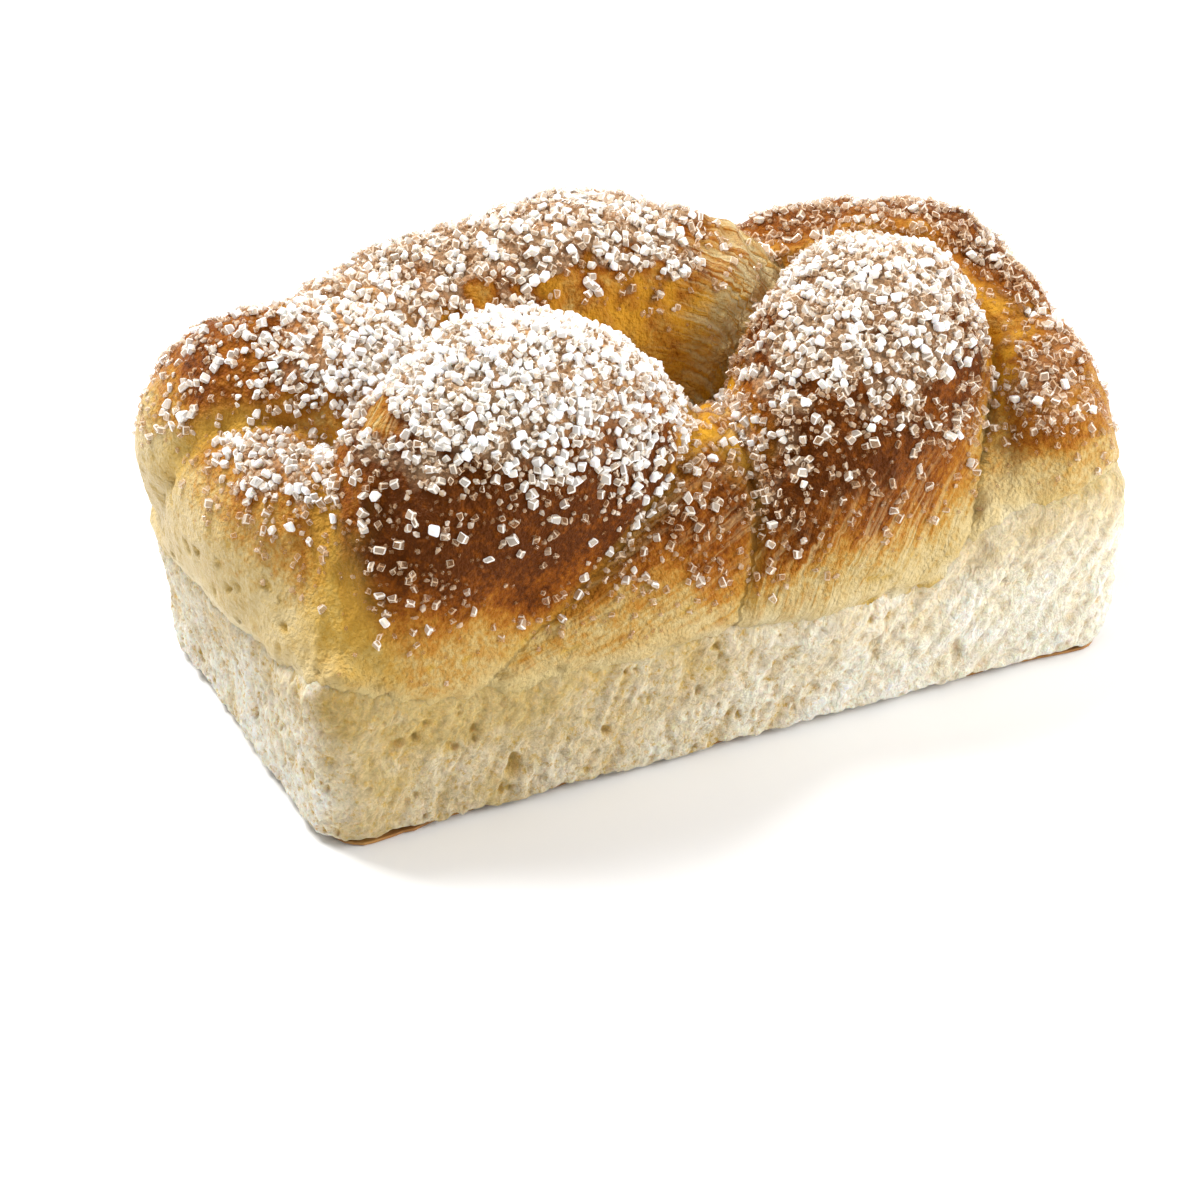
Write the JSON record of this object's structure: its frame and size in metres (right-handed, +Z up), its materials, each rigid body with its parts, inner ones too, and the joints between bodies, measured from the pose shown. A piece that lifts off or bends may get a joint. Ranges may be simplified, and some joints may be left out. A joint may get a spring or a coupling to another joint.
{
  "type": "brioche loaf",
  "caption": "Sugar-topped braided brioche bread, a plump oblong loaf of fused dough lobes on a pale base whose four sides are torn open from neighbouring loaves.",
  "frame": {"origin": "middle of the flat underside, which lies at z = 0", "axes": "+X along the loaf, towards the end with the two steep lobes, -Y towards the long side with the large egg-shaped lobe, +Z up"},
  "size_m": [0.2513, 0.1298, 0.1226],
  "materials": {
    "crust": "satin",
    "crumb": "matte",
    "sugar": "gloss"
  },
  "bodies": {
    "root": {"brioche_loaf": "crust"}
  },
  "joints": []
}
